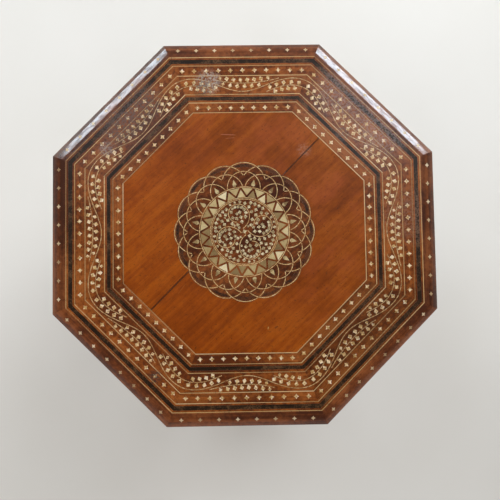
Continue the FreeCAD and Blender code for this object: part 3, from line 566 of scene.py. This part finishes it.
def archLine(shape):  # right half of the opening, from the floor to its point
    half = shape["half"] - shape["leg"]
    toe, ankle = (half - shape["flare"], 0), (half, shape["footHeight"])
    hollow = (half - shape["flare"] * shape["hollow"][0], shape["footHeight"] * shape["hollow"][1])
    last = math.acos(shape["ogeeHalf"] / half)
    bends = [last * index / shape["lobes"] for index in range(shape["lobes"] + 1)]
    cusps = [(half * math.cos(bend), shape["spring"] + shape["rise"] * math.sin(bend)) for bend in bends]
    line = bowed(toe, hollow, ankle)
    line += bowed(ankle, (half, (ankle[1] + cusps[0][1]) / 2), cusps[0], 40)
    for first, second in zip(cusps, cusps[1:]):
        middle = ((first[0] + second[0]) / 2, (first[1] + second[1]) / 2)
        outward = math.degrees(math.atan2(middle[1] - shape["spring"], middle[0]))
        line += bowed(first, polar(shape["bulge"], outward, middle), second)
    point = (0, cusps[-1][1] + shape["ogeeHeight"])
    lean = math.degrees(math.atan2(point[1] - cusps[-1][1], point[0] - cusps[-1][0]))
    depth = math.dist(point, cusps[-1]) / 2 * math.tan(math.radians(lean - 90) * shape["ogeeCurl"] / 2)
    middle = (cusps[-1][0] / 2, (cusps[-1][1] + point[1]) / 2)
    return line + bowed(cusps[-1], polar(depth, lean + 90, middle), point) + [point]


def lineGap(point, line):
    best = math.inf
    for first, second in zip(line, line[1:]):
        run = (second[0] - first[0], second[1] - first[1])
        reach = (point[0] - first[0]) * run[0] + (point[1] - first[1]) * run[1]
        share = min(max(reach / (run[0] ** 2 + run[1] ** 2), 0), 1)
        best = min(best, math.dist(point, (first[0] + run[0] * share, first[1] + run[1] * share)))
    return best


def mirrored(line):
    return [(-x, z) for x, z in line]


def besideArch(line, gap):  # a line that keeps its distance from the opening, over both halves
    moved = []
    for first, second in zip(line, line[1:]):
        heading = math.atan2(second[1] - first[1], second[0] - first[0])
        moved.append((first[0] + gap * math.sin(heading), first[1] - gap * math.cos(heading)))
    moved += [polar(gap, bearing, line[-1]) for bearing in range(10, 91, 10)]
    kept = [point for point in moved if lineGap(point, line) > gap - 0.05 and point[1] > panelInlay["foot"]]
    kept.insert(0, (kept[0][0], panelInlay["foot"]))
    return kept + mirrored(kept[:-1])[::-1]


def ribbon(line, width):
    left, right = [], []
    for index, point in enumerate(line):
        before, after = line[max(index - 1, 0)], line[min(index + 1, len(line) - 1)]
        heading = math.atan2(after[1] - before[1], after[0] - before[0])
        step = (-math.sin(heading) * width / 2, math.cos(heading) * width / 2)
        left.append((point[0] + step[0], point[1] + step[1]))
        right.append((point[0] - step[0], point[1] - step[1]))
    return left, right


def starOutline(size, waist, center, turn=0):
    radii = (size / 2, size / 2 * waist)
    return [polar(radii[index % 2], 45 * index + turn, center) for index in range(8)]


def leafOutline(size, center, turn):
    upper = [(size * x, size / 2 * y) for x, y in panelInlay["leafShape"]]
    loop = [(size / 2, 0)] + [(x, -y) for x, y in reversed(upper)] + upper
    angle = math.radians(turn)
    return [(center[0] + x * math.cos(angle) - y * math.sin(angle),
             center[1] + x * math.sin(angle) + y * math.cos(angle)) for x, y in loop]


def scrollLine(center, core, opening, fade, bearing, sweep):
    steps = int(abs(sweep) / panelInlay["scrollStep"])
    line = []
    for index in range(steps + 1):
        turned = abs(sweep) * index / steps
        radius = core + opening * math.exp(-turned / fade)
        line.append(polar(radius, bearing + math.copysign(turned, sweep), center))
    return line


def scrollLeaves(stems):  # leaves on both sides of each stem, where there is room
    look = panelInlay
    leaf = look["leaf"]
    edge = panelShape["half"] - look["innerFrame"]
    margin = leaf * look["frameRoom"]
    placed = []
    for stem in stems:
        for hand in (1, -1):
            travelled, target = 0.0, look["leafPitch"] * (1 if hand > 0 else look["lateStart"])
            for first, second in zip(stem, stem[1:]):
                travelled += math.dist(first, second)
                if travelled < target:
                    continue
                target += look["leafPitch"]
                turn = math.degrees(math.atan2(second[1] - first[1], second[0] - first[0]))
                turn += hand * (90 - look["leafLean"])
                center = polar(look["leafStand"] + (look["string"] + leaf) / 2, turn, second)
                clear = all(lineGap(center, other) > leaf * look["stemRoom"] for other in stems)
                room = leaf * look["leafRoom"]
                clear = clear and all(math.dist(center, other) > room for other, away in placed)
                inside = margin < center[0] < edge - margin
                if clear and inside and center[1] < look["friezeBand"] - leaf:
                    placed.append((center, turn))
    return [leafOutline(leaf, center, turn) for center, turn in placed]


def straight(first, second, width):
    return ribbon([first, second], width)


def panelDrawing():
    shape, look = panelShape, panelInlay
    arch = archLine(shape)
    edge = shape["half"] - look["margin"]
    inner = shape["half"] - look["innerFrame"]
    foot, head = look["foot"], shape["height"] - look["margin"]
    strings, bands, bones = [], [], []
    thin = look["string"]
    nearArch = besideArch(arch, look["margin"])
    strings.append(ribbon(nearArch, thin))
    bands.append(ribbon(besideArch(arch, look["bandOffset"]), look["band"]))
    for hand in (1, -1):
        strings.append(straight((hand * edge, foot), (hand * edge, head), thin))
        strings.append(straight((hand * inner, foot), (hand * inner, look["friezeLow"]), thin))
        strings.append(straight((hand * nearArch[0][0], foot), (hand * edge, foot), thin))
    for level in (look["friezeLow"], look["friezeHigh"], head):
        strings.append(straight((-edge, level), (edge, level), thin))
    bands.append(straight((-inner, look["friezeBand"]), (inner, look["friezeBand"]), look["band"]))
    pitch = look["starPitch"]
    middle = (edge + inner) / 2
    frieze = (look["friezeLow"] + look["friezeHigh"]) / 2
    rows = int((look["friezeLow"] - foot - pitch) / pitch)
    count = int(edge / pitch)
    places = [(hand * middle, foot + pitch * (0.8 + index)) for index in range(rows + 1) for hand in (1, -1)]
    places += [(pitch * index, frieze) for index in range(-count, count + 1)]
    for index, place in enumerate(places):
        turn = look["starSway"] * math.sin(13 * index)  # set a little askew, as by hand
        bones.append(starOutline(look["star"], look["starWaist"], place, turn))
    stems = [scrollLine(*scroll) for scroll in look["scrolls"]]
    strings += [ribbon(stem, thin) for stem in stems] + [ribbon(mirrored(stem), thin) for stem in stems]
    leaves = scrollLeaves(stems)
    bones += leaves + [mirrored(leaf)[::-1] for leaf in leaves]
    for level in (arch[-1][1] + look["bandOffset"] + look["flower"], stems[0][0][1]):
        bones.append(starOutline(look["flower"], look["starWaist"], (0, level)))
    return {"Strings": strings, "Ebony": bands, "Bone": bones}


def addPlate(mesh, loops, place):  # one closed plate from a loop of corners, or a ribbon of two edges
    look = panelInlay
    if isinstance(loops, tuple):
        left, right = loops
        quads = [(index, index + 1) for index in range(len(left) - 1)]
        loop = right + left[::-1]
    else:
        quads, loop = [], loops
    low = [mesh.verts.new(place(x, z, -look["sunk"])) for x, z in loop]
    high = [mesh.verts.new(place(x, z, look["proud"])) for x, z in loop]
    size = len(loop)
    for index in range(size):
        after = (index + 1) % size
        mesh.faces.new((low[index], low[after], high[after], high[index]))
    if quads:
        for first, second in quads:
            corners = (first, second, size - 1 - second, size - 1 - first)
            mesh.faces.new([high[corner] for corner in corners])
            mesh.faces.new([low[corner] for corner in corners[::-1]])
    else:
        mesh.faces.new(high)
        mesh.faces.new(low[::-1])


def panelPiece(name, drawing, side, finish):
    angle = sideTurn[side]
    normal = Vector((math.cos(angle), math.sin(angle), 0))
    heading = Vector((-math.sin(angle), math.cos(angle), 0))

    def place(x, z, depth):
        return (normal * (panelShape["face"] + depth) + heading * x + Vector((0, 0, z))) / perMetre

    build = bmesh.new()
    for loops in drawing:
        addPlate(build, loops, place)
    bmesh.ops.recalc_face_normals(build, faces=build.faces)
    mesh = bpy.data.meshes.new(name)
    build.to_mesh(mesh)
    build.free()
    mesh.materials.append(finish)
    piece = bpy.data.objects.new(name, mesh)
    bpy.context.scene.collection.objects.link(piece)
    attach(piece, "panel_%d" % (side + 1))


inlays = (("Strings", stringWood, "string_wood"), ("Ebony", ebony, "ebony"), ("Bone", bone, "bone"))
drawn = panelDrawing()
for side in range(8):
    for part, finish, slot in inlays:
        panelPiece("panel%s_%d" % (part, side + 1), drawn[part], side, finish)
print("panel inlay,", {part: len(loops) for part, loops in drawn.items()})


# Studio

studio = {
    "floor": tone(226, 222, 216), "floorCloud": tone(216, 211, 203), "floorReach": 5.0,
    "nearFloor": 0.9, "farFloor": 3.0, "floorFineness": 3, "floorRoughness": 0.7, "horizon": (0.12, 0.6),
    "backdrop": tone(224, 221, 216), "ambient": 0.2, "overhead": 0.16, "mirrorTint": (0.81, 0.91, 1.0),
    "lamps": [  # bearing, tilt from upright, distance, width, height, power, whether polish mirrors it
        (50, 62, 2.0, 1.6, 1.5, 22, False), (130, 62, 2.0, 1.1, 1.45, 12, False),
        (50, 62, 1.8, 0.6, 1.2, 15.5, True), (130, 62, 1.8, 0.5, 1.2, 10.4, True),
        (50, 22.5, 2.08, 0.5, 0.3, 3.6, True), (128.5, 22, 2.08, 0.45, 0.3, 1.9, True),
        (-70, 78, 2.4, 2.2, 1.2, 20, False), (-140, 75, 2.4, 2.0, 1.2, 26, False)],
}
photoCamera = {  # from the corners of the top in the photograph
    "place": (-0.0123, -0.1107, 1.7028), "turn": (4.15, -0.916, -0.899), "lens": 57.6, "sensor": 36.0,
}


def shownShare(start):  # 1 for rays that show the backdrop to the camera
    ray = start.make("LightPath", output="Is Camera Ray")
    shown = ray.sum("MAXIMUM", ray, ray.out("Is Glossy Ray"))
    return ray.sum("MAXIMUM", shown, ray.out("Is Transmission Ray"))


def backdrop():
    world = bpy.data.worlds.new("studio")
    bpy.context.scene.world = world
    world.use_nodes = True
    world.node_tree.nodes.clear()
    start = Wire(world.node_tree)

    def glow(strength):
        return start.make("Background", None, {"Color": studio["backdrop"], "Strength": strength})

    heading = start.make("TexCoord", output="Generated")
    up = rise(along(heading, (0, 0, 1)), *studio["horizon"])
    seen = start.make("MixShader", None, {0: up, 1: glow(1.0), 2: glow(studio["overhead"])})
    light = start.make("MixShader", None, {0: shownShare(start), 1: glow(studio["ambient"]), 2: seen})
    start.make("OutputWorld", None, {"Surface": light})


def floorPlane():
    reach = studio["floorReach"]
    mesh = bpy.data.meshes.new("floor")
    corners = [(-reach, -reach, 0), (reach, -reach, 0), (reach, reach, 0), (-reach, reach, 0)]
    mesh.from_pydata(corners, [], [(0, 1, 2, 3)])
    floor = bpy.data.objects.new("floor", mesh)
    bpy.context.scene.collection.objects.link(floor)
    made, start = newFinish("paleFloor")
    place = start.make("TexCoord", output="Object")
    cloud = noise(stretched(place, studio["floorFineness"]), 3, 0.5)
    colour = mixed(studio["floor"], studio["floorCloud"], cloud)
    near = shaded(start, colour, studio["floorRoughness"] + cloud * 0.1, cloud, 0.0002, {})
    far = start.make("Emission", None, {"Color": studio["backdrop"], "Strength": 1.0})
    share = rise(farFrom(place, (0, 0, 0)), studio["nearFloor"], studio["farFloor"]) * shownShare(start)
    surface = start.make("MixShader", None, {0: share, 1: near, 2: far})  # the far floor meets the backdrop
    start.make("OutputMaterial", None, {"Surface": surface})
    mesh.materials.append(made)


def lamp(number, bearing, tilt, distance, width, height, power, mirrors):
    light = bpy.data.lights.new("softbox%d" % number, "AREA")
    light.shape = "RECTANGLE"
    light.size, light.size_y = width, height
    light.energy = power
    if mirrors:
        light.color = studio["mirrorTint"]
    holder = bpy.data.objects.new("softbox%d" % number, light)
    holder.visible_glossy = mirrors
    turn, lean = math.radians(bearing), math.radians(tilt)
    ray = Vector((math.cos(turn) * math.sin(lean), math.sin(turn) * math.sin(lean), math.cos(lean)))
    holder.location = Vector((0, 0, topHeight)) + ray * distance
    holder.rotation_euler = ray.to_track_quat("Z", "Y").to_euler()
    bpy.context.scene.collection.objects.link(holder)


def photoView():
    seen = bpy.data.cameras.new("photoView")
    seen.lens = photoCamera["lens"]
    seen.sensor_width = photoCamera["sensor"]
    holder = bpy.data.objects.new("photoView", seen)
    holder.location = photoCamera["place"]
    holder.rotation_euler = [math.radians(turn) for turn in photoCamera["turn"]]
    bpy.context.scene.collection.objects.link(holder)
    bpy.context.scene.camera = holder


backdrop()
floorPlane()
for number, setting in enumerate(studio["lamps"], 1):
    lamp(number, *setting)
photoView()
bpy.context.scene.view_settings.view_transform = "Standard"
print("studio set")
